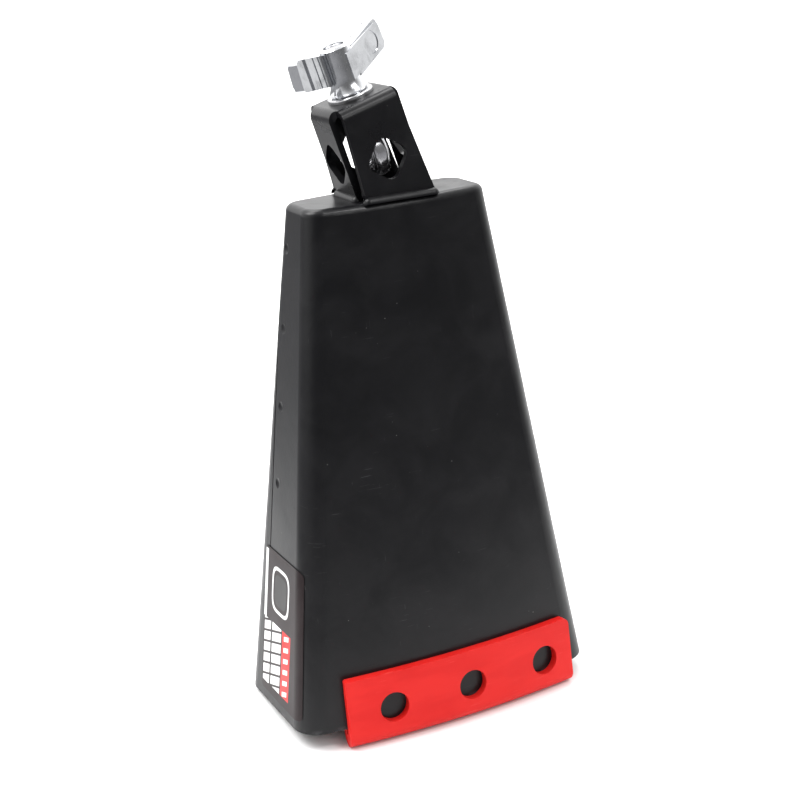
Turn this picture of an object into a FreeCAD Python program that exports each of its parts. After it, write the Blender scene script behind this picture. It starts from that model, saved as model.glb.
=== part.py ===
"""Steel cowbell with a clamp bracket, eye bolt, wing nut and a moulded striking bar.

Every size is in millimetres and lives in the spreadsheet called Sizes.
The bell is drawn in its own frame: mouth plane at height zero, crown up, striking face towards -Y.
The clamp pieces are drawn in the bracket's frame: origin on the bracket's top face, bolt along +Z.
Both frames are then placed so that the bell stands on its striking bar and its rear lip.
"""
import FreeCAD, Part
import math
import os

import Sketcher

Vector = FreeCAD.Vector
Placement = FreeCAD.Placement
Rotation = FreeCAD.Rotation

os.makedirs("parts", exist_ok=True)
doc = FreeCAD.newDocument("Cowbell")

# --------------------------------------------------------------------------------------------
# Driving sizes
# --------------------------------------------------------------------------------------------
SIZES = {
    # folded steel bell
    "bell_height": 203.0,
    "mouth_width": 131.4,
    "mouth_depth": 70.6,
    "mouth_corner": 11.4,
    "mouth_crown": 400.0,
    "crown_width": 75.8,
    "crown_depth": 33.0,
    "crown_corner": 7.6,
    "crown_bulge": 190.0,
    "sheet": 1.8,
    "top_bend": 3.0,
    # lapped side seams and their spot welds
    "seam_back": 10.6,
    "seam_gap": 0.7,
    "seam_bite": 0.55,
    "weld_spot_radius": 5.0,
    "weld_spot_bite": 0.45,
    "weld_spot_back": 5.8,
    "weld_spot_first": 32.0,
    "weld_spot_pitch": 31.0,
    "weld_spot_count": 6,
    # clamp bracket
    "bracket_tilt": 16.2,
    "bracket_height": 39.8,
    "bracket_side": 30.0,
    "bracket_sheet": 2.5,
    "bracket_bend": 4.0,
    "wide_leg_top": 23.2,
    "wide_leg_foot": 29.2,
    "side_leg_top": 17.4,
    "side_leg_foot": 18.4,
    "relief_corner": 2.0,
    "rod_drop": 21.3,
    "wide_hole_drop": 23.5,
    "leg_hole": 13.5,
    "leg_hole_corner": 3.7,
    "bolt_hole": 8.6,
    "bead": 2.3,
    # eye bolt, washer and wing nut
    "eye_bore": 13.5,
    "eye_outside": 22.6,
    "eye_thick": 7.0,
    "eye_round": 2.4,
    "shank": 7.9,
    "thread_pitch": 1.411,
    "thread_depth": 0.5,
    "shank_end": 19.4,
    "washer_outside": 17.8,
    "washer_bore": 8.6,
    "washer_thick": 1.6,
    "washer_gap": 0.1,
    "nut_bore": 8.0,
    "nut_skirt": 15.2,
    "nut_neck": 12.0,
    "nut_neck_height": 5.8,
    "nut_height": 18.2,
    "wing_span": 44.8,
    "wing_thick": 4.6,
    "wing_offset": 2.7,
    "wing_turn": 26.5,
    # striking bar
    "bar_wall": 3.3,
    "bar_top": 21.0,
    "bar_drop": 7.9,
    "bar_hook_top": 11.0,
    "bar_length": 103.0,
    "bar_offset": 3.4,
    "bar_gap": 0.12,
    "bar_hole": 12.2,
    "bar_hole_height": 6.3,
    "bar_hole_pitch": 34.6,
    "bar_hole_shift": 2.8,
    "bar_corner": 3.0,
    # sticker
    "label_thick": 0.25,
    "label_bottom": 4.0,
    "label_top": 66.0,
    "label_back": 14.5,
    "label_front": 1.2,
}

sheet = doc.addObject("Spreadsheet::Sheet", "Sizes")
for row, (alias, number) in enumerate(SIZES.items(), start=1):
    sheet.set("A%d" % row, alias.replace("_", " "))
    sheet.set("B%d" % row, str(number))
    sheet.setAlias("B%d" % row, alias)
doc.recompute()


class Size:
    """A number that remembers the spreadsheet formula it came from."""

    def __init__(self, value, text=None):
        self.value = float(value)
        self.text = text if text is not None else repr(float(value))

    def __add__(self, other):
        other = as_size(other)
        return Size(self.value + other.value, "(%s + %s)" % (self.text, other.text))

    def __sub__(self, other):
        other = as_size(other)
        return Size(self.value - other.value, "(%s - %s)" % (self.text, other.text))

    def __mul__(self, other):
        other = as_size(other)
        return Size(self.value * other.value, "(%s * %s)" % (self.text, other.text))

    def __truediv__(self, other):
        other = as_size(other)
        return Size(self.value / other.value, "(%s / %s)" % (self.text, other.text))

    def __neg__(self):
        return Size(-self.value, "(0 - %s)" % self.text)

    def __radd__(self, other):
        return as_size(other) + self

    def __rsub__(self, other):
        return as_size(other) - self

    def __rmul__(self, other):
        return as_size(other) * self


def as_size(number):
    return number if isinstance(number, Size) else Size(number)


def size(alias):
    return Size(sheet.get(alias), "Sizes.%s" % alias)


def bind(thing, prop, amount):
    """Set a property now and tie it to its formula."""
    amount = as_size(amount)
    thing.setExpression(prop, amount.text)
    return thing


# --------------------------------------------------------------------------------------------
# Bodies and sketches
# --------------------------------------------------------------------------------------------
def new_body(label):
    made = doc.addObject("PartDesign::Body", label)
    made.Label = label
    return made


def new_sketch(owner, role, name, offset=None):
    """A sketch on one of the body's own origin planes, moved along and about that plane."""
    made = owner.newObject("Sketcher::SketchObject", name)
    for feature in owner.Origin.OriginFeatures:
        if feature.Role == role:
            made.AttachmentSupport = [(feature, "")]
    made.MapMode = "FlatFace"
    if offset is not None:
        made.AttachmentOffset = offset
    return made


def loose_sketch(name, place):
    """A sketch that belongs to no body, for plain extrusions."""
    made = doc.addObject("Sketcher::SketchObject", name)
    made.Placement = place
    return made


def pin(drawing, kind, geometry, point, amount):
    """Hold one coordinate of a sketch point at a formula, measured from the sketch's origin."""
    amount = as_size(amount)
    number = drawing.addConstraint(Sketcher.Constraint(kind, -1, 1, geometry, point, amount.value))
    drawing.setExpression("Constraints[%d]" % number, amount.text)


def draw_circle(drawing, across, up, diameter):
    across, up, diameter = as_size(across), as_size(up), as_size(diameter)
    centre = Vector(across.value, up.value, 0)
    number = drawing.addGeometry(Part.Circle(centre, Vector(0, 0, 1), diameter.value / 2), False)
    pin(drawing, "DistanceX", number, 3, across)
    pin(drawing, "DistanceY", number, 3, up)
    held = drawing.addConstraint(Sketcher.Constraint("Diameter", number, diameter.value))
    drawing.setExpression("Constraints[%d]" % held, diameter.text)


def draw_outline(drawing, corners, arcs=None):
    """A closed outline. arcs gives the centre of each round stretch, by its first corner."""
    arcs = arcs or {}
    corners = [(as_size(across), as_size(up)) for across, up in corners]
    count = len(corners)
    pieces = []
    for number in range(count):
        start = Vector(corners[number][0].value, corners[number][1].value, 0)
        after = corners[(number + 1) % count]
        end = Vector(after[0].value, after[1].value, 0)
        if number not in arcs:
            pieces.append((drawing.addGeometry(Part.LineSegment(start, end), False), 1, 2))
            continue
        centre = arcs[number]
        middle = Vector(as_size(centre[0]).value, as_size(centre[1]).value, 0)
        first = math.atan2(start.y - middle.y, start.x - middle.x)
        last = math.atan2(end.y - middle.y, end.x - middle.x)
        counter = (last - first) % (2 * math.pi) <= math.pi + 1e-6
        round_edge = Part.Circle(middle, Vector(0, 0, 1), (start - middle).Length)
        if counter:
            made = drawing.addGeometry(Part.ArcOfCircle(round_edge, first, last), False)
            pieces.append((made, 1, 2))
        else:
            made = drawing.addGeometry(Part.ArcOfCircle(round_edge, last, first), False)
            pieces.append((made, 2, 1))
        chord = end - start
        if abs(chord.y) > abs(chord.x):
            pin(drawing, "DistanceX", made, 3, centre[0])
        else:
            pin(drawing, "DistanceY", made, 3, centre[1])
    for number in range(count):
        here, begin, _ = pieces[number]
        before, _, finish = pieces[number - 1]
        drawing.addConstraint(Sketcher.Constraint("Coincident", before, finish, here, begin))
        pin(drawing, "DistanceX", here, begin, corners[number][0])
        pin(drawing, "DistanceY", here, begin, corners[number][1])


def near(value, target, slack=0.02):
    return abs(value - target) < slack


def edge_names(feature, test):
    """The names of a feature's edges whose two ends and middle all pass the test."""
    names = []
    for number, edge in enumerate(feature.Shape.Edges, start=1):
        middle = edge.valueAt((edge.FirstParameter + edge.LastParameter) / 2)
        points = [vertex.Point for vertex in edge.Vertexes] + [middle]
        if all(test(point) for point in points):
            names.append("Edge%d" % number)
    return names


def round_edges(owner, feature, test, radius, name, kind="PartDesign::Fillet"):
    """Fillet or chamfer the edges of a body's last feature that pass the test."""
    doc.recompute()
    names = edge_names(feature, test)
    if not names:
        raise RuntimeError("no edges to treat for " + name)
    made = owner.newObject(kind, name)
    made.Base = (feature, names)
    bind(made, "Radius" if kind.endswith("Fillet") else "Size", radius)
    doc.recompute()
    return made


def round_solid(base, test, radius, name):
    """Part fillet on the edges of any solid that pass the test."""
    made = doc.addObject("Part::Fillet", name)
    made.Base = base
    made.Edges = [(int(edge[4:]), radius, radius) for edge in edge_names(base, test)]
    doc.recompute()
    return made


def cut_away(base, tools, name):
    """Everything in tools removed from the base."""
    tool = tools[0]
    if len(tools) > 1:
        tool = doc.addObject("Part::MultiFuse", name + "Tools")
        tool.Shapes = tools
    made = doc.addObject("Part::Cut", name)
    made.Base = base
    made.Tool = tool
    doc.recompute()
    return made


# --------------------------------------------------------------------------------------------
# Frames
# --------------------------------------------------------------------------------------------
def front_slope():
    """How much the wide faces lean in, per millimetre of height."""
    return (SIZES["mouth_depth"] - SIZES["crown_depth"]) / 2 / SIZES["bell_height"]


def bell_lean():
    """How far the bell leans back, standing on the far end of the bar and on its rear lip."""
    tube = SIZES["sheet"] / 2 + SIZES["bar_gap"] + SIZES["bar_wall"]
    spread = math.asin(SIZES["bar_length"] / 2 / (SIZES["mouth_crown"] + SIZES["bar_wall"]))
    aside = math.asin(SIZES["bar_offset"] / SIZES["mouth_crown"])
    drop = SIZES["bar_drop"] - tube
    middle = SIZES["mouth_crown"] - SIZES["sheet"] / 2 + front_slope() * drop
    reach = SIZES["mouth_depth"] - SIZES["mouth_crown"] + middle * math.cos(spread + aside)
    return math.degrees(math.atan2(drop, reach) + math.asin(tube / math.hypot(reach, drop)))


def bracket_place():
    """The bracket stands on the middle of the crown and leans towards -X."""
    tilt = math.radians(SIZES["bracket_tilt"])
    tall = SIZES["bracket_height"]
    top = Vector(-tall * math.sin(tilt), 0, SIZES["bell_height"] + tall * math.cos(tilt))
    return Placement(top, Rotation(Vector(0, 1, 0), -SIZES["bracket_tilt"]))


SEAM_ENDS = 4.0
IN_BELL = Placement()
IN_BRACKET = bracket_place()
pieces = []


def add_piece(thing, label, place):
    thing.Label = label
    pieces.append((thing, label, place))


# --------------------------------------------------------------------------------------------
# Bell shell: one folded sheet, open at the mouth
# --------------------------------------------------------------------------------------------
def crowned_section(drawing, width, depth, corner, crown):
    """A flat-sided section whose front and back bulge: two crowns, four corners, two sides."""
    half, deep = width.value / 2, depth.value / 2
    round_radius, big = corner.value, crown.value
    turn = math.asin((half - round_radius) / (big - round_radius))
    rise = big - deep
    corner_up = (big - round_radius) * math.cos(turn) - rise

    def arc(cx, cy, radius, first, last):
        circle = Part.Circle(Vector(cx, cy, 0), Vector(0, 0, 1), radius)
        return drawing.addGeometry(Part.ArcOfCircle(circle, first, last), False)

    def line(x, y1, y2):
        return drawing.addGeometry(Part.LineSegment(Vector(x, y1, 0), Vector(x, y2, 0)), False)

    inner = half - round_radius
    quarter = math.pi / 2
    front = arc(0, rise, big, 3 * quarter - turn, 3 * quarter + turn)
    front_right = arc(inner, -corner_up, round_radius, 3 * quarter + turn, 4 * quarter)
    right = line(half, -corner_up, corner_up)
    back_right = arc(inner, corner_up, round_radius, 0, quarter - turn)
    back = arc(0, -rise, big, quarter - turn, quarter + turn)
    back_left = arc(-inner, corner_up, round_radius, quarter + turn, 2 * quarter)
    left = line(-half, corner_up, -corner_up)
    front_left = arc(-inner, -corner_up, round_radius, 2 * quarter, 3 * quarter - turn)
    ring = [front, front_right, right, back_right, back, back_left, left, front_left]
    for number, piece in enumerate(ring):
        after = ring[(number + 1) % len(ring)]
        drawing.addConstraint(Sketcher.Constraint("Tangent", piece, 2, after, 1))
    drawing.addConstraint(Sketcher.Constraint("Vertical", right))
    drawing.addConstraint(Sketcher.Constraint("Vertical", left))
    for other in (back_right, back_left, front_left):
        drawing.addConstraint(Sketcher.Constraint("Equal", front_right, other))
    drawing.addConstraint(Sketcher.Constraint("Equal", front, back))
    for piece, amount in ((front_right, corner), (front, crown)):
        number = drawing.addConstraint(Sketcher.Constraint("Radius", piece, amount.value))
        drawing.setExpression("Constraints[%d]" % number, amount.text)
    drawing.addConstraint(Sketcher.Constraint("PointOnObject", front, 3, -2))
    drawing.addConstraint(Sketcher.Constraint("PointOnObject", back, 3, -2))
    pin(drawing, "DistanceY", front, 3, crown - depth / 2)
    pin(drawing, "DistanceY", back, 3, depth / 2 - crown)
    pin(drawing, "DistanceX", right, 1, width / 2)
    pin(drawing, "DistanceX", left, 1, -(width / 2))


def bell_loft(name, inset, low, high):
    """A straight-sided loft from the mouth to the crown, drawn inset from the outside."""
    sections = []
    for level, end in ((low, "Mouth"), (high, "Crown")):
        drawing = loose_sketch(name + end, Placement(Vector(0, 0, level.value), Rotation()))
        drawing.setExpression("Placement.Base.z", level.text)
        share = level / size("bell_height")
        width = size("mouth_width") + (size("crown_width") - size("mouth_width")) * share
        depth = size("mouth_depth") + (size("crown_depth") - size("mouth_depth")) * share
        corner = size("mouth_corner") + (size("crown_corner") - size("mouth_corner")) * share
        crown = size("mouth_crown") + (size("crown_bulge") - size("mouth_crown")) * share
        wide, deep = width - inset * 2, depth - inset * 2
        crowned_section(drawing, wide, deep, corner - inset, crown - inset)
        sections.append(drawing)
    loft = doc.addObject("Part::Loft", name)
    loft.Sections = sections
    loft.Solid = True
    loft.Ruled = True
    doc.recompute()
    return loft


def side_slope():
    """How much the narrow sides lean in, per millimetre of height."""
    return (SIZES["mouth_width"] - SIZES["crown_width"]) / 2 / SIZES["bell_height"]


def side_distance(height):
    """Half the bell's width at a height above the mouth."""
    return SIZES["mouth_width"] / 2 - side_slope() * height


def build_bell_shell():
    tall = SIZES["bell_height"]
    outside = bell_loft("BellOutside", Size(0), Size(0), size("bell_height"))
    folded = round_solid(outside, lambda p: near(p.z, tall), SIZES["top_bend"], "TopBend")
    tools = [bell_loft("BellInside", size("sheet"), Size(-1), size("bell_height") - size("sheet"))]

    # Each narrow side is two flaps lapped over one another: the front flap ends in a visible step.
    lean = math.degrees(math.atan(side_slope()))
    for side, word in ((-1, "Left"), (1, "Right")):
        seam = doc.addObject("Part::Box", word + "Seam")
        bind(seam, "Length", size("seam_bite") * 2)
        bind(seam, "Width", size("seam_gap"))
        bind(seam, "Height", size("bell_height") - SEAM_ENDS * 2)
        across = side * side_distance(SEAM_ENDS) - SIZES["seam_bite"]
        turn = Rotation(Vector(0, 1, 0), -side * lean)
        seam.Placement = Placement(Vector(across, SIZES["seam_back"], SEAM_ENDS), turn)
        tools.append(seam)

    # Spot welds leave a row of shallow dimples beside each seam.
    away = SIZES["weld_spot_radius"] - SIZES["weld_spot_bite"]
    for side, word in ((-1, "Left"), (1, "Right")):
        for number in range(int(SIZES["weld_spot_count"])):
            height = SIZES["weld_spot_first"] + number * SIZES["weld_spot_pitch"]
            dimple = doc.addObject("Part::Sphere", word + "SpotWeld")
            bind(dimple, "Radius", size("weld_spot_radius"))
            across = side * (side_distance(height) + away)
            middle = Vector(across, SIZES["weld_spot_back"], height)
            dimple.Placement = Placement(middle, Rotation())
            tools.append(dimple)
    add_piece(cut_away(folded, tools, "BellShell"), "bell_shell", IN_BELL)


# --------------------------------------------------------------------------------------------
# Striking bar: a moulded J that hooks over the lip and follows the crowned striking face
# --------------------------------------------------------------------------------------------
HOOK_EASE = 0.35


def build_striking_bar():
    body = new_body("striking_bar")
    lip = size("mouth_crown")
    slope = (size("mouth_depth") - size("crown_depth")) / 2 / size("bell_height")
    gap, wall = size("bar_gap"), size("bar_wall")
    inner = lip - size("sheet") - gap
    outer = lip + gap
    bend = -(size("bar_drop")) + (outer - inner) / 2 + wall
    centre = (outer + inner) / 2

    def radius_at(base, height):
        return base - slope * height

    profile = new_sketch(body, "YZ_Plane", "HookProfile")
    top, hook = size("bar_top"), size("bar_hook_top")
    corners = [
        (-(radius_at(outer + wall, top)), top),
        (-(radius_at(outer + wall, bend)), bend),
        (-(radius_at(inner - wall, bend)), bend),
        (-(radius_at(inner - wall - HOOK_EASE, hook)), hook),
        (-(radius_at(inner - HOOK_EASE, hook)), hook),
        (-(radius_at(inner, bend)), bend),
        (-(radius_at(outer, bend)), bend),
        (-(radius_at(outer, top)), top),
    ]
    middle = (-(radius_at(centre, bend)), bend)
    draw_outline(profile, corners, {1: middle, 5: middle})
    turned = body.newObject("PartDesign::Revolution", "Hook")
    turned.Profile = profile
    turned.ReferenceAxis = (profile, ["V_Axis"])
    reach = size("bar_length") / 2 / (size("mouth_crown") + size("bar_wall"))
    sweep = 2 * math.degrees(math.asin(reach.value))
    bind(turned, "Angle", Size(sweep, "2 * asin(%s)" % reach.text))
    turned.Midplane = True
    doc.recompute()

    # The upper corners of the outer wall are rounded: more at the right end than at the left.
    half = SIZES["bar_length"] / 2

    def corner_at(side):
        def test(point):
            return side * point.x > half * 0.9 and near(point.z, SIZES["bar_top"])

        return test

    right = round_edges(body, turned, corner_at(1), size("bar_corner"), "RightCorner")
    round_edges(body, right, corner_at(-1), size("bar_corner") / 3, "LeftCorner")

    # Three holes go through the outer wall only, each drawn on a plane inside the slot.
    pitch = math.degrees(math.asin(SIZES["bar_hole_pitch"] / SIZES["mouth_crown"]))
    shift = math.degrees(math.asin(SIZES["bar_hole_shift"] / SIZES["mouth_crown"]))
    slot_middle = SIZES["mouth_crown"] - SIZES["sheet"] / 2
    slope_back = SIZES["bar_hole_height"] * slope.value
    for number in (-1, 0, 1):
        turn = Rotation(Vector(0, 1, 0), number * pitch + shift)
        start = turn.multVec(Vector(0, 0, slot_middle - slope_back))
        drawing = new_sketch(body, "XZ_Plane", "HoleDrawing", Placement(start, turn))
        draw_circle(drawing, Size(0), size("bar_hole_height"), size("bar_hole"))
        hole = body.newObject("PartDesign::Pocket", "Hole")
        hole.Profile = drawing
        bind(hole, "Length", size("bar_wall") * 3)
        hole.Reversed = True
        doc.recompute()
    aside = math.degrees(math.asin(SIZES["bar_offset"] / SIZES["mouth_crown"]))
    middle = Vector(0, SIZES["mouth_crown"] - SIZES["mouth_depth"] / 2, 0)
    add_piece(body, "striking_bar", Placement(middle, Rotation(Vector(0, 0, 1), aside)))


# --------------------------------------------------------------------------------------------
# Clamp bracket: a cross-shaped blank with round inner corners, folded into four legs
# --------------------------------------------------------------------------------------------
TRIM = 8.0


def centred_box(name, wide, deep, low, high):
    """A box centred on the vertical axis, between two heights."""
    made = doc.addObject("Part::Box", name)
    bind(made, "Length", wide)
    bind(made, "Width", deep)
    bind(made, "Height", high - low)
    made.setExpression("Placement.Base.x", (-(wide / 2)).text)
    made.setExpression("Placement.Base.y", (-(deep / 2)).text)
    made.setExpression("Placement.Base.z", low.text)
    doc.recompute()
    return made


def long_cylinder(name, diameter, length, middle, turn):
    """A cylinder centred on a point, its axis turned from +Z."""
    made = doc.addObject("Part::Cylinder", name)
    bind(made, "Radius", diameter / 2)
    bind(made, "Height", length)
    start = middle - turn.multVec(Vector(0, 0, as_size(length).value / 2))
    made.Placement = Placement(start, turn)
    return made


def extrude(drawing, name, forward, backward):
    made = doc.addObject("Part::Extrusion", name)
    made.Base = drawing
    made.DirMode = "Normal"
    bind(made, "LengthFwd", forward)
    bind(made, "LengthRev", backward)
    made.Solid = True
    doc.recompute()
    return made


TO_FRONT = Rotation(Vector(1, 0, 0), 90)
TO_SIDE = Rotation(Vector(0, 0, 1), 90).multiply(Rotation(Vector(1, 0, 0), 90))
ALONG_Y = Rotation(Vector(1, 0, 0), -90)


def leg(name, place, top, foot):
    """One flat leg as thick as the sheet, flared from the fold down to past the crown."""
    low = -(size("bracket_height") + TRIM)
    level = -size("bracket_bend")
    drawing = loose_sketch(name + "Outline", place)
    corners = [(-(foot / 2), low), (foot / 2, low), (top / 2, level), (-(top / 2), level)]
    draw_outline(drawing, corners)
    return extrude(drawing, name, size("bracket_sheet"), Size(0))


def folded_cap():
    """The flat top and the four folds, cut to a cross with round inner corners."""
    side, metal = size("bracket_side"), size("bracket_sheet")
    bend = size("bracket_bend")
    inside = side - metal * 2
    outer = centred_box("CapOutside", side, side, -(bend + 1), Size(0))
    outer = round_solid(outer, lambda point: near(point.z, 0), bend.value, "OuterFolds")
    inner = centred_box("CapInside", inside, inside, -(bend + 2), -metal)
    tight = bend.value - metal.value
    inner = round_solid(inner, lambda point: near(point.z, -metal.value), tight, "InnerFolds")
    dome = cut_away(outer, [inner], "Dome")

    a, b, r = size("wide_leg_top") / 2, size("side_leg_top") / 2, size("relief_corner")
    drawing = loose_sketch("CrossOutline", Placement())
    corners = [
        (side, -b), (side, b), (a + r, b), (a, b + r),
        (a, side), (-a, side), (-a, b + r), (-(a + r), b),
        (-side, b), (-side, -b), (-(a + r), -b), (-a, -(b + r)),
        (-a, -side), (a, -side), (a, -(b + r)), (a + r, -b),
    ]
    middles = {
        2: (a + r, b + r),
        6: (-(a + r), b + r),
        10: (-(a + r), -(b + r)),
        14: (a + r, -(b + r)),
    }
    draw_outline(drawing, corners, middles)
    cross = extrude(drawing, "Cross", Size(1), bend)
    cap = doc.addObject("Part::Common", "Cap")
    cap.Base = dome
    cap.Tool = cross
    return cap


def bell_top_cutter():
    """Everything below the bell's crown, seen from the tilted bracket."""
    made = doc.addObject("Part::Box", "BelowCrown")
    block = SIZES["bracket_side"] * 3
    for prop in ("Length", "Width", "Height"):
        bind(made, prop, size("bracket_side") * 3)
    turn = Rotation(Vector(0, 1, 0), SIZES["bracket_tilt"])
    crown = Vector(0, 0, -SIZES["bracket_height"])
    corner = turn.multVec(Vector(-block / 2, -block / 2, -block))
    made.Placement = Placement(crown + corner, turn)
    return made


def diamond_hole(name, turn, height):
    """A square hole stood on its corner, with round corners, drawn straight through both legs."""
    flats, corner = size("leg_hole"), size("leg_hole_corner")
    reach = (flats / 2 - corner) * math.sqrt(2)
    side = corner / math.sqrt(2)
    far = reach + side
    drawing = loose_sketch(name + "Outline", Placement(Vector(), turn))
    corners = [
        (far, height - side),
        (far, height + side),
        (side, height + far),
        (-side, height + far),
        (-far, height + side),
        (-far, height - side),
        (-side, height - far),
        (side, height - far),
    ]
    middles = {
        0: (reach, height),
        2: (Size(0), height + reach),
        4: (-reach, height),
        6: (Size(0), height - reach),
    }
    draw_outline(drawing, corners, middles)
    return extrude(drawing, name, size("bracket_side"), size("bracket_side"))


def build_bracket():
    side, metal = size("bracket_side"), size("bracket_sheet")
    half, inner = side.value / 2, side.value / 2 - metal.value
    wide = (size("wide_leg_top"), size("wide_leg_foot"))
    narrow = (size("side_leg_top"), size("side_leg_foot"))
    folded = doc.addObject("Part::MultiFuse", "FoldedLegs")
    folded.Shapes = [
        folded_cap(),
        leg("FrontLeg", Placement(Vector(0, -inner, 0), TO_FRONT), *wide),
        leg("BackLeg", Placement(Vector(0, half, 0), TO_FRONT), *wide),
        leg("LeftLeg", Placement(Vector(-half, 0, 0), TO_SIDE), *narrow),
        leg("RightLeg", Placement(Vector(inner, 0, 0), TO_SIDE), *narrow),
    ]
    folded.Refine = True
    bolt_hole = long_cylinder("BoltHole", size("bolt_hole"), metal * 4, Vector(), Rotation())
    wide_hole = diamond_hole("WideHoles", TO_FRONT, -size("wide_hole_drop"))
    side_hole = diamond_hole("SideHoles", TO_SIDE, -size("rod_drop"))
    trim = bell_top_cutter()
    doc.recompute()
    bracket = cut_away(folded, [wide_hole, side_hole, bolt_hole, trim], "Bracket")
    add_piece(bracket, "mounting_bracket", IN_BRACKET)
    envelope = centred_box("BracketEnvelope", side, side, -(size("bracket_height") + TRIM), Size(0))
    return envelope, trim


def weld_bead(name, length, middle, turn):
    """A round-ended bead lying along a line."""
    rod = long_cylinder(name + "Run", size("bead") * 2, length, middle, turn)
    parts = [rod]
    for end in (-0.5, 0.5):
        ball = doc.addObject("Part::Sphere", name + "End")
        bind(ball, "Radius", size("bead"))
        tip = middle + turn.multVec(Vector(0, 0, length.value * end))
        ball.Placement = Placement(tip, Rotation())
        parts.append(ball)
    bead = doc.addObject("Part::MultiFuse", name)
    bead.Shapes = parts
    return bead


def build_welds(envelope, trim):
    """Four beads join the bracket's feet to the crown."""
    tilt = math.radians(SIZES["bracket_tilt"])
    half = SIZES["bracket_side"] / 2
    tall = SIZES["bracket_height"]
    along = Rotation(Vector(0, 1, 0), SIZES["bracket_tilt"] + 90)
    wide = size("wide_leg_foot") - size("bead")
    narrow = size("side_leg_foot") - size("bead")
    beads = [
        weld_bead("FrontBead", wide, Vector(0, -half, -tall), along),
        weld_bead("BackBead", wide, Vector(0, half, -tall), along),
    ]
    for side, word in ((-1, "Left"), (1, "Right")):
        foot = Vector(side * half, 0, -tall - side * half * math.tan(tilt))
        beads.append(weld_bead(word + "Bead", narrow, foot, ALONG_Y))
    joined = doc.addObject("Part::MultiFuse", "Beads")
    joined.Shapes = beads
    doc.recompute()
    add_piece(cut_away(joined, [envelope, trim], "BracketWelds"), "bracket_welds", IN_BRACKET)


# --------------------------------------------------------------------------------------------
# Eye bolt: a forged eye on a threaded shank, drawn about the middle of the eye
# --------------------------------------------------------------------------------------------
NECK_RADIUS = 4.9
NECK_SINK = 1.4
NECK_TAPER = 0.6
NECK_SHOULDER = 0.8
NECK_END = 13.5
THREAD_START = 15.0
NOTCH_HALF = 0.9
SHANK_CHAMFER = 0.8
BORE_CHAMFER = 0.8


def build_eye_bolt():
    body = new_body("eye_bolt")
    section = new_sketch(body, "XZ_Plane", "EyeSection")
    half = size("eye_thick") / 2
    low, high = size("eye_bore") / 2, size("eye_outside") / 2
    draw_outline(section, [(-half, low), (half, low), (half, high), (-half, high)])
    eye = body.newObject("PartDesign::Revolution", "Eye")
    eye.Profile = section
    eye.ReferenceAxis = (section, ["H_Axis"])
    eye.Angle = 360
    doc.recompute()

    def outer_rim(point):
        return near(math.hypot(point.y, point.z), high.value)

    def bore_rim(point):
        return near(math.hypot(point.y, point.z), low.value)

    worn = round_edges(body, eye, outer_rim, size("eye_round"), "EyeRound")
    round_edges(body, worn, bore_rim, Size(BORE_CHAMFER), "BoreLip")

    shank = new_sketch(body, "XZ_Plane", "ShankProfile")
    radius = size("shank") / 2
    end = size("rod_drop") + size("shank_end")
    start = low + NECK_SINK
    corners = [
        (Size(0), start),
        (Size(NECK_RADIUS - NECK_TAPER), start),
        (Size(NECK_RADIUS), high - NECK_SHOULDER),
        (radius, Size(NECK_END)),
        (radius, end - SHANK_CHAMFER),
        (radius - SHANK_CHAMFER, end),
        (Size(0), end),
    ]
    draw_outline(shank, corners)
    turned = body.newObject("PartDesign::Revolution", "Shank")
    turned.Profile = shank
    turned.ReferenceAxis = (shank, ["V_Axis"])
    turned.Angle = 360
    doc.recompute()

    # The thread is cut as plain rings one pitch apart.
    groove = new_sketch(body, "XZ_Plane", "ThreadNotch")
    pitch = size("thread_pitch")
    deep = size("thread_depth")
    first = Size(THREAD_START)
    corners = [
        (radius - deep, first),
        (radius + deep, first - pitch * NOTCH_HALF),
        (radius + deep, first + pitch * NOTCH_HALF),
    ]
    draw_outline(groove, corners)
    notch = body.newObject("PartDesign::Groove", "ThreadRing")
    notch.Profile = groove
    notch.ReferenceAxis = (groove, ["V_Axis"])
    notch.Angle = 360
    doc.recompute()
    count = int((end.value - SHANK_CHAMFER - THREAD_START) / pitch.value)
    thread = body.newObject("PartDesign::LinearPattern", "Thread")
    thread.Originals = [notch]
    thread.Direction = (groove, ["V_Axis"])
    thread.Occurrences = count + 1
    bind(thread, "Length", pitch * count)
    body.Tip = thread
    doc.recompute()
    hang = Placement(Vector(0, 0, -SIZES["rod_drop"]), Rotation())
    add_piece(body, "eye_bolt", IN_BRACKET.multiply(hang))


# --------------------------------------------------------------------------------------------
# Washer and wing nut, each drawn from its own underside
# --------------------------------------------------------------------------------------------
def build_washer():
    body = new_body("flat_washer")
    drawing = new_sketch(body, "XY_Plane", "WasherRings")
    draw_circle(drawing, Size(0), Size(0), size("washer_outside"))
    draw_circle(drawing, Size(0), Size(0), size("washer_bore"))
    disc = body.newObject("PartDesign::Pad", "Disc")
    disc.Profile = drawing
    bind(disc, "Length", size("washer_thick"))
    doc.recompute()
    outside = SIZES["washer_outside"] / 2

    def rim(point):
        return near(math.hypot(point.x, point.y), outside) and point.z > SIZES["washer_thick"] / 2

    round_edges(body, disc, rim, size("washer_thick") * 0.4, "StampedEdge")
    lift = Placement(Vector(0, 0, SIZES["washer_gap"]), Rotation())
    add_piece(body, "flat_washer", IN_BRACKET.multiply(lift))


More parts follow.
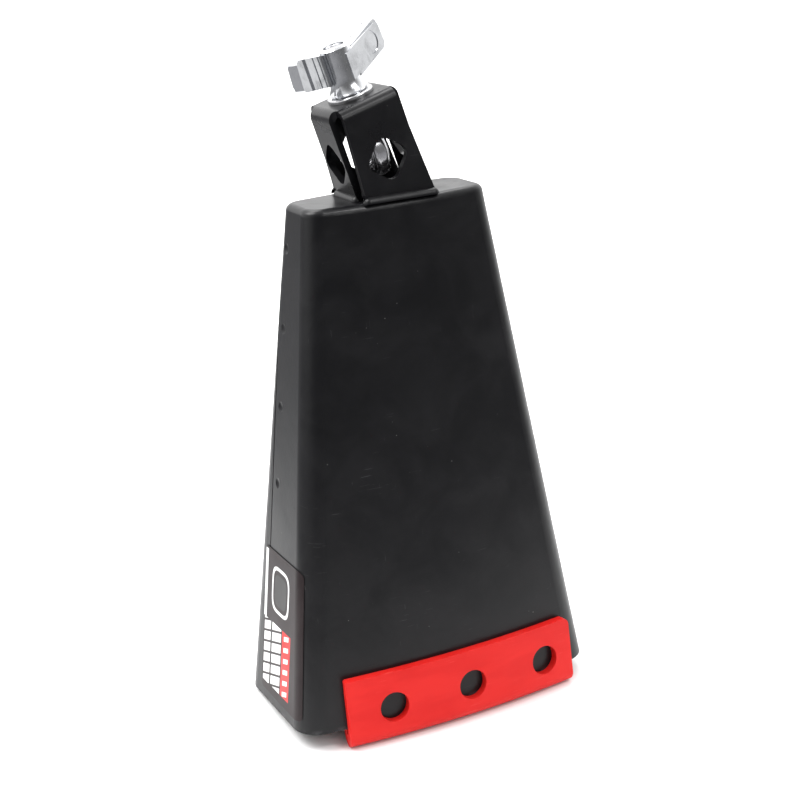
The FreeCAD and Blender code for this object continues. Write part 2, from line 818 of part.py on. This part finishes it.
SKIRT_FOOT = 1.1
HUB_CHAMFER = 0.7
WING_START = 4.2
WING_LOW = 4.4
WING_TIP_LOW = 8.8
WING_ROOT_HIGH = 16.4
WING_TIP_HIGH = 20.8
WING_TIP_LEAN = 1.0
WING_CORNER = 1.8
PAD_START = -1.6
PAD_MARGIN = 1.0
PAD_PROUD = 1.3
THUMB_DIMPLE = 8.8
DIMPLE_DEPTH = 0.35
DIMPLE_SINK = 1.2
GRIP_GROOVES = ((17.4, 1.8), (12.6, 0.7), (9.9, 0.7), (6.9, 1.0))
GRIP_DEPTH = 0.8
GRIP_TOP = 30.0


def softened(corners, radius, chosen):
    """An outline with the chosen corners rounded, as corners and arc middles for draw_outline."""
    made, middles = [], {}
    points = [Vector(as_size(across).value, as_size(up).value, 0) for across, up in corners]
    for number, point in enumerate(points):
        if number not in chosen:
            made.append(corners[number])
            continue
        before = (points[number - 1] - point).normalize()
        after = (points[(number + 1) % len(points)] - point).normalize()
        half = before.getAngle(after) / 2
        start = point + before * (radius / math.tan(half))
        end = point + after * (radius / math.tan(half))
        middle = point + (before + after).normalize() * (radius / math.sin(half))
        middles[len(made)] = (middle.x, middle.y)
        made += [(start.x, start.y), (end.x, end.y)]
    return made, middles


def build_wing_nut():
    body = new_body("wing_nut")
    hub = new_sketch(body, "XZ_Plane", "HubProfile")
    bore = size("nut_bore") / 2
    skirt = size("nut_skirt") / 2
    neck = size("nut_neck") / 2
    level = size("nut_neck_height")
    tall = size("nut_height")
    reach, rise = skirt - neck, level - SKIRT_FOOT
    sweep = (reach * reach + rise * rise) / (reach * 2)
    corners = [
        (bore, Size(0)),
        (skirt - HUB_CHAMFER, Size(0)),
        (skirt, Size(SKIRT_FOOT)),
        (neck, level),
        (neck, tall - HUB_CHAMFER),
        (neck - HUB_CHAMFER, tall),
        (bore, tall),
    ]
    draw_outline(hub, corners, {2: (neck + sweep, level)})
    turned = body.newObject("PartDesign::Revolution", "Hub")
    turned.Profile = hub
    turned.ReferenceAxis = (hub, ["V_Axis"])
    turned.Angle = 360
    doc.recompute()

    span = size("wing_span") / 2
    front = size("wing_offset") + size("wing_thick") / 2

    def on_face(name, forward):
        """A sketch facing -Y, this far in front of the bolt's axis."""
        place = Placement(Vector(0, 0, forward.value), Rotation())
        return new_sketch(body, "XZ_Plane", name, place)

    wing = on_face("WingOutline", front)
    corners = [
        (Size(WING_START), Size(WING_LOW)),
        (span, Size(WING_TIP_LOW)),
        (span - WING_TIP_LEAN, Size(WING_TIP_HIGH)),
        (Size(WING_START), Size(WING_ROOT_HIGH)),
    ]
    draw_outline(wing, *softened(corners, WING_CORNER, (1, 2)))
    blade = body.newObject("PartDesign::Pad", "Wing")
    blade.Profile = wing
    bind(blade, "Length", size("wing_thick"))
    blade.Reversed = True
    doc.recompute()

    pad = on_face("ThumbPadOutline", front)
    corners = [
        (Size(PAD_START), Size(WING_LOW + PAD_MARGIN * 0.5)),
        (span - PAD_MARGIN, Size(WING_TIP_LOW + PAD_MARGIN)),
        (span - WING_TIP_LEAN - PAD_MARGIN, Size(WING_TIP_HIGH - PAD_MARGIN)),
        (Size(PAD_START), Size(WING_ROOT_HIGH - PAD_MARGIN * 1.4)),
    ]
    draw_outline(pad, *softened(corners, WING_CORNER, (1, 2)))
    thumb = body.newObject("PartDesign::Pad", "ThumbPad")
    thumb.Profile = pad
    thumb.Length = PAD_PROUD
    doc.recompute()

    dimple = on_face("DimpleOutline", front + PAD_PROUD)
    middle = (WING_TIP_LOW + WING_TIP_HIGH) / 2 - DIMPLE_SINK
    draw_circle(dimple, span * 0.6, Size(middle), Size(THUMB_DIMPLE))
    hollow = body.newObject("PartDesign::Pocket", "ThumbDimple")
    hollow.Profile = dimple
    hollow.Length = DIMPLE_DEPTH
    doc.recompute()

    back = on_face("GripGrooveOutlines", front - size("wing_thick"))
    for middle, width in GRIP_GROOVES:
        left, right = Size(middle - width / 2), Size(middle + width / 2)
        foot, top = Size(0), Size(GRIP_TOP)
        draw_outline(back, [(left, foot), (right, foot), (right, top), (left, top)])
    grooves = body.newObject("PartDesign::Pocket", "GripGrooves")
    grooves.Profile = back
    grooves.Length = GRIP_DEPTH
    grooves.Reversed = True
    doc.recompute()

    both = body.newObject("PartDesign::PolarPattern", "BothWings")
    both.Originals = [blade, thumb, hollow, grooves]
    both.Axis = (hub, ["V_Axis"])
    both.Angle = 360
    both.Occurrences = 2
    body.Tip = both
    doc.recompute()
    seat = SIZES["washer_gap"] * 2 + SIZES["washer_thick"]
    place = Placement(Vector(0, 0, seat), Rotation(Vector(0, 0, 1), SIZES["wing_turn"]))
    add_piece(body, "wing_nut", IN_BRACKET.multiply(place))


# --------------------------------------------------------------------------------------------
# Sticker: a thin skin round the left front corner, just clear of the paint
# --------------------------------------------------------------------------------------------
LABEL_CLEAR = 0.03
LABEL_CORNER = 3.0


def build_label():
    top = size("bell_height")
    skin = bell_loft("LabelOutside", -(size("label_thick") + LABEL_CLEAR), Size(0), top)
    core = bell_loft("LabelInside", -Size(LABEL_CLEAR), Size(-1), top + 1)
    wrap = cut_away(skin, [core], "LabelWrap")
    slope = (size("mouth_width") - size("crown_width")) / 2 / top
    low, high = size("label_bottom"), size("label_top")
    window = loose_sketch("LabelWindow", Placement(Vector(), TO_FRONT))

    def front_edge(height):
        return -(size("mouth_width") / 2 - slope * height) + size("label_front")

    far = -size("mouth_width")
    corners = [(far, low), (front_edge(low), low), (front_edge(high), high), (far, high)]
    draw_outline(window, corners)
    region = extrude(window, "LabelRegion", size("mouth_depth"), size("label_back"))

    def corner_edge(point):
        on_front = point.x > -SIZES["mouth_width"] / 2 and point.z > SIZES["label_bottom"] - 1
        upright = near(point.y, SIZES["label_back"])
        level = near(point.z, SIZES["label_bottom"]) or near(point.z, SIZES["label_top"])
        return level and (upright or on_front)

    window_cut = round_solid(region, corner_edge, LABEL_CORNER, "LabelCorners")
    label = doc.addObject("Part::Common", "Label")
    label.Base = wrap
    label.Tool = window_cut
    doc.recompute()
    add_piece(label, "side_label", IN_BELL)


def finish():
    doc.recompute()
    lean = Rotation(Vector(1, 0, 0), -bell_lean())
    for thing, label, place in pieces:
        thing.Placement = Placement(Vector(), lean).multiply(place)
    doc.recompute()
    for thing in doc.Objects:
        if "Invalid" in thing.State or "Error" in thing.State:
            raise RuntimeError("%s failed to build" % thing.Label)
    whole = FreeCAD.BoundBox()
    for thing, label, place in pieces:
        if thing.Shape.isNull() or not thing.Shape.isValid():
            raise RuntimeError("%s has no valid shape" % label)
        whole.add(thing.Shape.optimalBoundingBox(True, False))
    foot = Vector(-whole.Center.x, -whole.Center.y, -whole.ZMin)
    for thing, label, place in pieces:
        thing.Placement = Placement(foot, lean).multiply(place)
    doc.recompute()
    for thing, label, place in pieces:
        thing.Shape.exportStep("parts/%s.step" % label)


build_bell_shell()
build_striking_bar()
bracket_envelope, crown_trim = build_bracket()
build_welds(bracket_envelope, crown_trim)
build_eye_bolt()
build_washer()
build_wing_nut()
build_label()
finish()
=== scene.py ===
"""A cowbell on a white card: procedural finishes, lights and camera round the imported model.

Finishes use metres in the object's own frame, unless they are placed in the bell's frame in millimetres.
"""
import math
import bpy
from mathutils import Matrix, Vector

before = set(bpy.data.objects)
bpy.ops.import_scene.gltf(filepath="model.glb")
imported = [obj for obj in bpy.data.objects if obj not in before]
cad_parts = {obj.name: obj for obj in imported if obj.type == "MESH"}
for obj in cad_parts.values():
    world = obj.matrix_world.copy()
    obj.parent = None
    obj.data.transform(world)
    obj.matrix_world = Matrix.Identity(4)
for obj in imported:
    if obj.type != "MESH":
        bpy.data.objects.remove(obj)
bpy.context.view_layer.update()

MM = 0.001

# The bell stands leaning back on its bar, so finishes that follow it use the bell's own frame.
LEAN = math.radians(6.82)
BELL_FOOT = Vector((0.0, -2.13 * MM, 4.19 * MM))


# --------------------------------------------------------------------------------------------
# A small builder for node materials
# --------------------------------------------------------------------------------------------
class Finish:
    """One principled material and the helpers that wire its nodes."""

    def __init__(self, name):
        self.made = bpy.data.materials.new(name)
        self.made.use_nodes = True
        self.tree = self.made.node_tree
        self.tree.nodes.clear()
        self.out = self.tree.nodes.new("ShaderNodeOutputMaterial")
        self.shader = self.tree.nodes.new("ShaderNodeBsdfPrincipled")
        self.tree.links.new(self.shader.outputs[0], self.out.inputs[0])
        self.where = self.node("ShaderNodeTexCoord").outputs["Object"]

    def node(self, kind, **settings):
        made = self.tree.nodes.new(kind)
        for key, value in settings.items():
            setattr(made, key, value)
        return made

    def put(self, socket, value):
        """A socket takes either another node's output or a plain value."""
        if isinstance(value, bpy.types.NodeSocket):
            self.tree.links.new(value, socket)
        else:
            socket.default_value = value

    def set(self, **values):
        names = {
            "colour": "Base Color",
            "metallic": "Metallic",
            "roughness": "Roughness",
            "specular": "Specular IOR Level",
            "normal": "Normal",
            "ior": "IOR",
            "scatter": "Subsurface Weight",
            "scatter_scale": "Subsurface Scale",
        }
        for key, value in values.items():
            self.put(self.shader.inputs[names[key]], value)

    def sum(self, operation, first, second=0.0, clamp=False):
        made = self.node("ShaderNodeMath", operation=operation, use_clamp=clamp)
        self.put(made.inputs[0], first)
        self.put(made.inputs[1], second)
        return made.outputs[0]

    def fit(self, value, low, high, to_low=0.0, to_high=1.0):
        """A value mapped smoothly from one range to another, and held there."""
        made = self.node("ShaderNodeMapRange", interpolation_type="SMOOTHSTEP")
        self.put(made.inputs["Value"], value)
        made.inputs["From Min"].default_value = low
        made.inputs["From Max"].default_value = high
        made.inputs["To Min"].default_value = to_low
        made.inputs["To Max"].default_value = to_high
        return made.outputs["Result"]

    def stretched(self, scale):
        """Coordinates scaled by a different amount along each axis."""
        made = self.node("ShaderNodeMapping")
        self.put(made.inputs["Vector"], self.where)
        made.inputs["Scale"].default_value = scale
        return made.outputs[0]

    def placed(self, turn, origin):
        """Coordinates in millimetres, in a frame with this rotation matrix and origin."""
        back = turn.inverted()
        made = self.node("ShaderNodeMapping")
        self.put(made.inputs["Vector"], self.where)
        made.inputs["Rotation"].default_value = back.to_euler()
        made.inputs["Location"].default_value = -(back @ origin) / MM
        made.inputs["Scale"].default_value = (1 / MM, 1 / MM, 1 / MM)
        return made.outputs[0]

    def split(self, vector):
        made = self.node("ShaderNodeSeparateXYZ")
        self.put(made.inputs[0], vector)
        return made.outputs

    def noise(self, scale, detail=3.0, rough=0.5, vector=None, twist=0.0):
        made = self.node("ShaderNodeTexNoise")
        self.put(made.inputs["Vector"], self.where if vector is None else vector)
        made.inputs["Scale"].default_value = scale
        made.inputs["Detail"].default_value = detail
        made.inputs["Roughness"].default_value = rough
        made.inputs["Distortion"].default_value = twist
        return made.outputs["Fac"]

    def cells(self, scale):
        made = self.node("ShaderNodeTexVoronoi")
        self.put(made.inputs["Vector"], self.where)
        made.inputs["Scale"].default_value = scale
        return made.outputs["Distance"]

    def blend(self, share, first, second):
        """A colour between two colours."""
        made = self.node("ShaderNodeMix", data_type="RGBA")
        self.put(made.inputs[0], share)
        self.put(made.inputs[6], first)
        self.put(made.inputs[7], second)
        return made.outputs[2]

    def bump(self, height, strength, reach, under=None):
        made = self.node("ShaderNodeBump")
        made.inputs["Strength"].default_value = strength
        made.inputs["Distance"].default_value = reach
        self.put(made.inputs["Height"], height)
        if under is not None:
            self.put(made.inputs["Normal"], under)
        return made.outputs[0]

    def window(self, value, low, high, soft=0.15):
        """1 between two values and 0 outside them."""
        rise = self.fit(value, low - soft, low + soft)
        fall = self.fit(value, high - soft, high + soft, 1.0, 0.0)
        return self.sum("MULTIPLY", rise, fall)


def lean_turn():
    return Matrix.Rotation(-LEAN, 3, "X")


def wear(finish, node):
    """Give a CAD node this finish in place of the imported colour."""
    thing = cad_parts[node]
    thing.data.materials.clear()
    thing.data.materials.append(finish.made)


# --------------------------------------------------------------------------------------------
# Finishes
# --------------------------------------------------------------------------------------------
COAT_BLACK = (0.0045, 0.0045, 0.0055, 1)
COAT_RUBBED = (0.0075, 0.0074, 0.0086, 1)
SCRATCH_GREY = (0.16, 0.16, 0.165, 1)
DUST_GREY = (0.24, 0.24, 0.23, 1)
CHAFED_GREY = (0.10, 0.10, 0.105, 1)
# The lip is chafed up to this height, in millimetres above the mouth's plane.
CHAFE_START = 0.2
CHAFE_END = 2.2


def black_coat(name, peel, gloss):
    """Baked satin black: orange peel, slow ripples, rubbed patches, dust, scratches, a chafed lip."""
    made = Finish(name)
    bell = made.placed(lean_turn(), BELL_FOOT)
    ripple = made.noise(14.0, 2.0, 0.4)
    orange = made.noise(620.0, 2.0, 0.55)
    rubbed = made.noise(38.0, 5.0, 0.62, twist=0.6)
    hair = made.noise(1.0, 3.0, 0.5, made.stretched((90.0, 90.0, 2300.0)))
    hair_two = made.noise(1.0, 3.0, 0.5, made.stretched((1900.0, 160.0, 120.0)))
    scratch = made.sum("MAXIMUM", made.fit(hair, 0.70, 0.74), made.fit(hair_two, 0.71, 0.75))
    scratch = made.sum("MULTIPLY", scratch, made.fit(rubbed, 0.46, 0.62))
    speck = made.fit(made.cells(260.0), 0.035, 0.07, 1.0, 0.0)
    speck = made.sum("MULTIPLY", speck, made.fit(made.noise(47.0, 2.0), 0.60, 0.64))

    height = made.split(bell)[2]
    lip = made.fit(height, CHAFE_START, CHAFE_END, 1.0, 0.0)
    chafe = made.sum("MULTIPLY", lip, made.fit(made.noise(210.0, 4.0, 0.6), 0.50, 0.62))

    base = made.blend(made.fit(rubbed, 0.35, 0.7), COAT_BLACK, COAT_RUBBED)
    base = made.blend(made.sum("MULTIPLY", scratch, 0.16), base, SCRATCH_GREY)
    base = made.blend(made.sum("MULTIPLY", speck, 0.5), base, DUST_GREY)
    base = made.blend(made.sum("MULTIPLY", chafe, 0.35), base, CHAFED_GREY)

    rough = made.fit(rubbed, 0.3, 0.72, gloss, gloss + 0.11)
    rough = made.sum("ADD", rough, made.sum("MULTIPLY", made.sum("MAXIMUM", scratch, speck), 0.2))
    peeled = made.bump(orange, peel, 0.25 * MM)
    rippled = made.bump(ripple, 0.25, 2.2 * MM, peeled)
    nicked = made.bump(made.sum("MAXIMUM", scratch, chafe), -0.10, 0.12 * MM, rippled)
    made.set(colour=base, roughness=rough, normal=nicked)
    made.set(metallic=0.0, ior=1.5, specular=0.28)
    return made


MOULDED_RED = (0.67, 0.013, 0.011, 1)
FLOW_RED = (0.73, 0.020, 0.017, 1)
SCUFFED_RED = (0.93, 0.16, 0.14, 1)


def red_plastic(name):
    """Moulded red plastic: fine satin tooth, flow marks, faint scuffs from sticks."""
    made = Finish(name)
    flow = made.noise(30.0, 3.0, 0.5, made.stretched((1.0, 1.0, 3.5)), twist=0.4)
    tooth = made.noise(1500.0, 2.0, 0.6)
    scuff = made.noise(1.0, 4.0, 0.6, made.stretched((70.0, 240.0, 900.0)))
    patches = made.fit(made.noise(55.0, 3.0), 0.48, 0.62)
    scuffed = made.sum("MULTIPLY", made.fit(scuff, 0.60, 0.70), patches)
    base = made.blend(made.fit(flow, 0.35, 0.65), MOULDED_RED, FLOW_RED)
    base = made.blend(made.sum("MULTIPLY", scuffed, 0.22), base, SCUFFED_RED)
    rough = made.fit(flow, 0.3, 0.7, 0.36, 0.47)
    rough = made.sum("ADD", rough, made.sum("MULTIPLY", scuffed, 0.12))
    grain = made.bump(tooth, 0.10, 0.12 * MM)
    marks = made.bump(flow, 0.12, 0.5 * MM, grain)
    made.set(colour=base, roughness=rough, normal=marks)
    made.set(metallic=0.0, ior=1.48, specular=0.2, scatter=0.08, scatter_scale=2 * MM)
    return made


HAZE_SHADE = 0.72


def bright_plate(name, tint, gloss, pits, waves):
    """Bright plating: small pits and slow waves of the casting, hazy patches, hairline rubs."""
    made = Finish(name)
    haze = made.noise(120.0, 4.0, 0.6, twist=0.5)
    pit = made.noise(1100.0, 3.0, 0.6)
    wave = made.noise(190.0, 2.0, 0.5)
    rub = made.noise(1.0, 3.0, 0.5, made.stretched((2600.0, 300.0, 220.0)))
    rubbed = made.fit(rub, 0.58, 0.70)
    dull = tuple(part * HAZE_SHADE for part in tint[:3]) + (1,)
    base = made.blend(made.fit(haze, 0.40, 0.75), tint, dull)
    rough = made.fit(haze, 0.35, 0.75, gloss, gloss + 0.13)
    rough = made.sum("ADD", rough, made.sum("MULTIPLY", rubbed, 0.08))
    pitted = made.bump(pit, pits, 0.05 * MM)
    waved = made.bump(wave, waves, 0.5 * MM, pitted)
    made.set(colour=base, roughness=rough, normal=waved)
    made.set(metallic=1.0)
    return made


# The sticker's shapes on the bell's left side, in millimetres in the bell's frame.
# The frame has its middle and half size, along Y and up.
FRAME_MIDDLE = (-1.8, 50.2)
FRAME_HALF = (8.8, 9.6)
FRAME_SQUARENESS = 4.0
# The band, the rows and the strip each have their front and back along Y, then their bottom and top.
RED_BAND = (-13.6, -5.2, 8.0, 35.6)
BAND_MARGIN = 1.9
WHITE_ROWS = ((-4.1, 5.2, 7.9, 35.4), (6.8, 13.3, 7.6, 35.2))
WHITE_STRIP = (11.8, 14.3, 35.2, 64.2)
BLOCK_PITCH = 4.7
BLOCK_SLANT = 0.30
FILM_DARK = (0.020, 0.014, 0.015, 1)
FILM_LIGHT = (0.028, 0.021, 0.022, 1)
FRAME_GREY = (0.055, 0.055, 0.055, 1)
PRINTED_RED = (0.62, 0.030, 0.028, 1)
PRINTED_WHITE = (0.84, 0.84, 0.83, 1)


def sticker(name):
    """Printed vinyl with plain blocks and an empty frame."""
    made = Finish(name)
    _, around, height = made.split(made.placed(lean_turn(), BELL_FOOT))

    def patch(limits):
        wide = made.window(around, limits[0], limits[1])
        return made.sum("MULTIPLY", wide, made.window(height, limits[2], limits[3]))

    # An empty rounded frame high on the side.
    wide = made.sum("ABSOLUTE", made.sum("SUBTRACT", around, FRAME_MIDDLE[0]))
    tall = made.sum("ABSOLUTE", made.sum("SUBTRACT", height, FRAME_MIDDLE[1]))
    wide = made.sum("POWER", made.sum("DIVIDE", wide, FRAME_HALF[0]), FRAME_SQUARENESS)
    tall = made.sum("POWER", made.sum("DIVIDE", tall, FRAME_HALF[1]), FRAME_SQUARENESS)
    edge = made.sum("POWER", made.sum("ADD", wide, tall), 1 / FRAME_SQUARENESS)
    ring = made.window(edge, 0.86, 1.0, 0.02)
    inside = made.fit(edge, 0.66, 0.70, 1.0, 0.0)

    # Rows of slanted blocks below it, with thin gaps between them.
    slide = made.sum("ADD", height, made.sum("MULTIPLY", around, BLOCK_SLANT))
    step = made.sum("FRACT", made.sum("DIVIDE", slide, BLOCK_PITCH))
    block = made.window(step, 0.12, 0.90, 0.03)
    rows = made.sum("ADD", patch(WHITE_ROWS[0]), patch(WHITE_ROWS[1]), clamp=True)
    white = made.sum("MULTIPLY", rows, block)
    white = made.sum("MAXIMUM", white, patch(WHITE_STRIP))
    white = made.sum("MAXIMUM", white, ring)
    red = patch(RED_BAND)
    bars = made.window(around, RED_BAND[0] + BAND_MARGIN, RED_BAND[1] - BAND_MARGIN)
    bars = made.sum("MULTIPLY", bars, red)
    bars = made.sum("MULTIPLY", bars, made.window(step, 0.30, 0.72, 0.04))

    film = made.noise(55.0, 3.0, 0.55)
    base = made.blend(made.fit(film, 0.35, 0.65), FILM_DARK, FILM_LIGHT)
    base = made.blend(made.sum("MULTIPLY", inside, 0.8), base, FRAME_GREY)
    base = made.blend(made.sum("MULTIPLY", red, 0.96), base, PRINTED_RED)
    base = made.blend(made.sum("MAXIMUM", white, bars), base, PRINTED_WHITE)
    rough = made.fit(film, 0.3, 0.7, 0.30, 0.40)
    ink = made.bump(made.sum("MAXIMUM", white, red), 0.15, 0.02 * MM)
    bubbled = made.bump(film, 0.15, 0.8 * MM, ink)
    made.set(colour=base, roughness=rough, normal=bubbled)
    made.set(metallic=0.0, ior=1.5, specular=0.12)
    return made


NUT_PLATE = (0.66, 0.67, 0.69, 1)
BOLT_PLATE = (0.62, 0.62, 0.64, 1)
WASHER_PLATE = (0.60, 0.60, 0.61, 1)

wear(black_coat("bell_black_coat", 0.09, 0.28), "bell_shell")
wear(black_coat("bracket_black_coat", 0.07, 0.25), "mounting_bracket")
wear(black_coat("weld_black_coat", 0.16, 0.30), "bracket_welds")
wear(red_plastic("bar_red_plastic"), "striking_bar")
wear(bright_plate("nut_bright_plate", NUT_PLATE, 0.14, 0.10, 0.12), "wing_nut")
wear(bright_plate("bolt_bright_plate", BOLT_PLATE, 0.18, 0.12, 0.10), "eye_bolt")
wear(bright_plate("washer_bright_plate", WASHER_PLATE, 0.16, 0.10, 0.06), "flat_washer")
wear(sticker("label_printed_vinyl"), "side_label")


# --------------------------------------------------------------------------------------------
# Floor, light and camera
# --------------------------------------------------------------------------------------------
FLOOR_HALF = 6.0
CARD_WHITE = (0.87, 0.87, 0.87, 1)
CARD_LIGHT = (0.89, 0.89, 0.89, 1)
# Painted shade: the floor's grey in front of and left of the bell, which the bell mirrors as shade.
SHADE_FLOOR_GREY = (0.16, 0.16, 0.165, 1)
# The card fades to a grey of painted shade in front of the bell between these two places along Y, in
# metres, so the bell mirrors shade there.
CARD_FROM = -0.15
SHADE_FROM = -0.34
# It also fades to painted shade on the left, between two distances from the origin along this slanted
# direction.
SIDE_ACROSS = -0.978
SIDE_ALONG = 0.208
SIDE_CARD = 0.10
SIDE_SHADE = 0.27


def make_floor():
    """A white card under the bell, painted grey in front and on the left as painted shade that the bell
    mirrors.
    """
    half = FLOOR_HALF
    mesh = bpy.data.meshes.new("studio_floor")
    corners = [(-half, -half, 0), (half, -half, 0), (half, half, 0), (-half, half, 0)]
    mesh.from_pydata(corners, [], [(0, 1, 2, 3)])
    floor = bpy.data.objects.new("studio_floor", mesh)
    bpy.context.scene.collection.objects.link(floor)
    made = Finish("pale_floor")
    card = made.blend(made.noise(3.0, 3.0), CARD_WHITE, CARD_LIGHT)
    across, along, _ = made.split(made.where)
    aside = made.sum("MULTIPLY", across, SIDE_ACROSS)
    aside = made.sum("ADD", aside, made.sum("MULTIPLY", along, SIDE_ALONG))
    front = made.fit(along, SHADE_FROM, CARD_FROM)
    side = made.fit(aside, SIDE_CARD, SIDE_SHADE, 1.0, 0.0)
    # The card blends into painted shade in front and on the left.
    made.set(colour=made.blend(made.sum("MULTIPLY", front, side), SHADE_FLOOR_GREY, card))
    made.set(roughness=0.75, specular=0.2)
    floor.data.materials.append(made.made)


# The sky's strength towards -Y and towards +Y, and the two directions between which it changes.
SKY_FRONT = 0.22
SKY_BACK = 1.8
SKY_FRONT_END = -0.8
SKY_BACK_START = 0.3


def make_sky():
    """Plain white light from all round, dim from the front and bright from behind."""
    world = bpy.data.worlds.new("studio_sky")
    world.use_nodes = True
    tree = world.node_tree
    tree.nodes.clear()
    where = tree.nodes.new("ShaderNodeTexCoord")
    parts = tree.nodes.new("ShaderNodeSeparateXYZ")
    tree.links.new(where.outputs["Generated"], parts.inputs[0])
    ramp = tree.nodes.new("ShaderNodeMapRange")
    ramp.interpolation_type = "SMOOTHSTEP"
    tree.links.new(parts.outputs[1], ramp.inputs["Value"])
    ramp.inputs["From Min"].default_value = SKY_FRONT_END
    ramp.inputs["From Max"].default_value = SKY_BACK_START
    ramp.inputs["To Min"].default_value = SKY_FRONT
    ramp.inputs["To Max"].default_value = SKY_BACK
    shade = tree.nodes.new("ShaderNodeBackground")
    shade.inputs["Color"].default_value = (1.0, 1.0, 1.0, 1)
    tree.links.new(ramp.outputs["Result"], shade.inputs["Strength"])
    out = tree.nodes.new("ShaderNodeOutputWorld")
    tree.links.new(shade.outputs[0], out.inputs[0])
    bpy.context.scene.world = world


def soft_box(name, place, target, wide, tall, watts):
    """A square-cornered area light that faces its target."""
    light = bpy.data.lights.new(name, "AREA")
    light.shape = "RECTANGLE"
    light.size = wide
    light.size_y = tall
    light.energy = watts
    thing = bpy.data.objects.new(name, light)
    thing.location = place
    thing.rotation_euler = (Vector(target) - Vector(place)).to_track_quat("-Z", "Y").to_euler()
    bpy.context.scene.collection.objects.link(thing)


CAMERA_SENSOR = 36.0
CAMERA_LENS = 71.8
CAMERA_PLACE = (-0.2576, -0.5131, 0.3842)
CAMERA_TARGET = (-0.0162, -0.0216, 0.1389)
CAMERA_ROLL = math.radians(-0.91)
CLIP_NEAR = 0.01
CLIP_FAR = 50.0


def make_camera():
    """The camera looks slightly down at the bell from its front left."""
    lens = bpy.data.cameras.new("main_camera")
    lens.sensor_width = CAMERA_SENSOR
    lens.lens = CAMERA_LENS
    lens.clip_start = CLIP_NEAR
    lens.clip_end = CLIP_FAR
    camera = bpy.data.objects.new("main_camera", lens)
    look = Vector(CAMERA_TARGET) - Vector(CAMERA_PLACE)
    turn = look.to_track_quat("-Z", "Y").to_matrix() @ Matrix.Rotation(CAMERA_ROLL, 3, "Z")
    camera.matrix_world = Matrix.Translation(CAMERA_PLACE) @ turn.to_4x4()
    bpy.context.scene.collection.objects.link(camera)
    bpy.context.scene.camera = camera


# A studio print keeps its white card white and its red pure.
bpy.context.scene.view_settings.view_transform = "Standard"

make_floor()
make_sky()
# Each box: where it stands, what it faces, how wide and tall it is, in metres, and its watts.
soft_box("key_box", (-0.9, 0.5, 1.5), (0, 0, 0.1), 1.0, 1.0, 26.0)
soft_box("top_box", (0.3, 0.9, 1.6), (0, 0, 0.15), 1.4, 0.9, 24.0)
soft_box("front_box", (0.5, -1.6, 1.5), (0, 0, 0.1), 1.2, 0.6, 9.0)
soft_box("edge_box", (0.33, -0.58, 1.32), (0, 0, 0.2), 0.25, 0.25, 5.0)
make_camera()
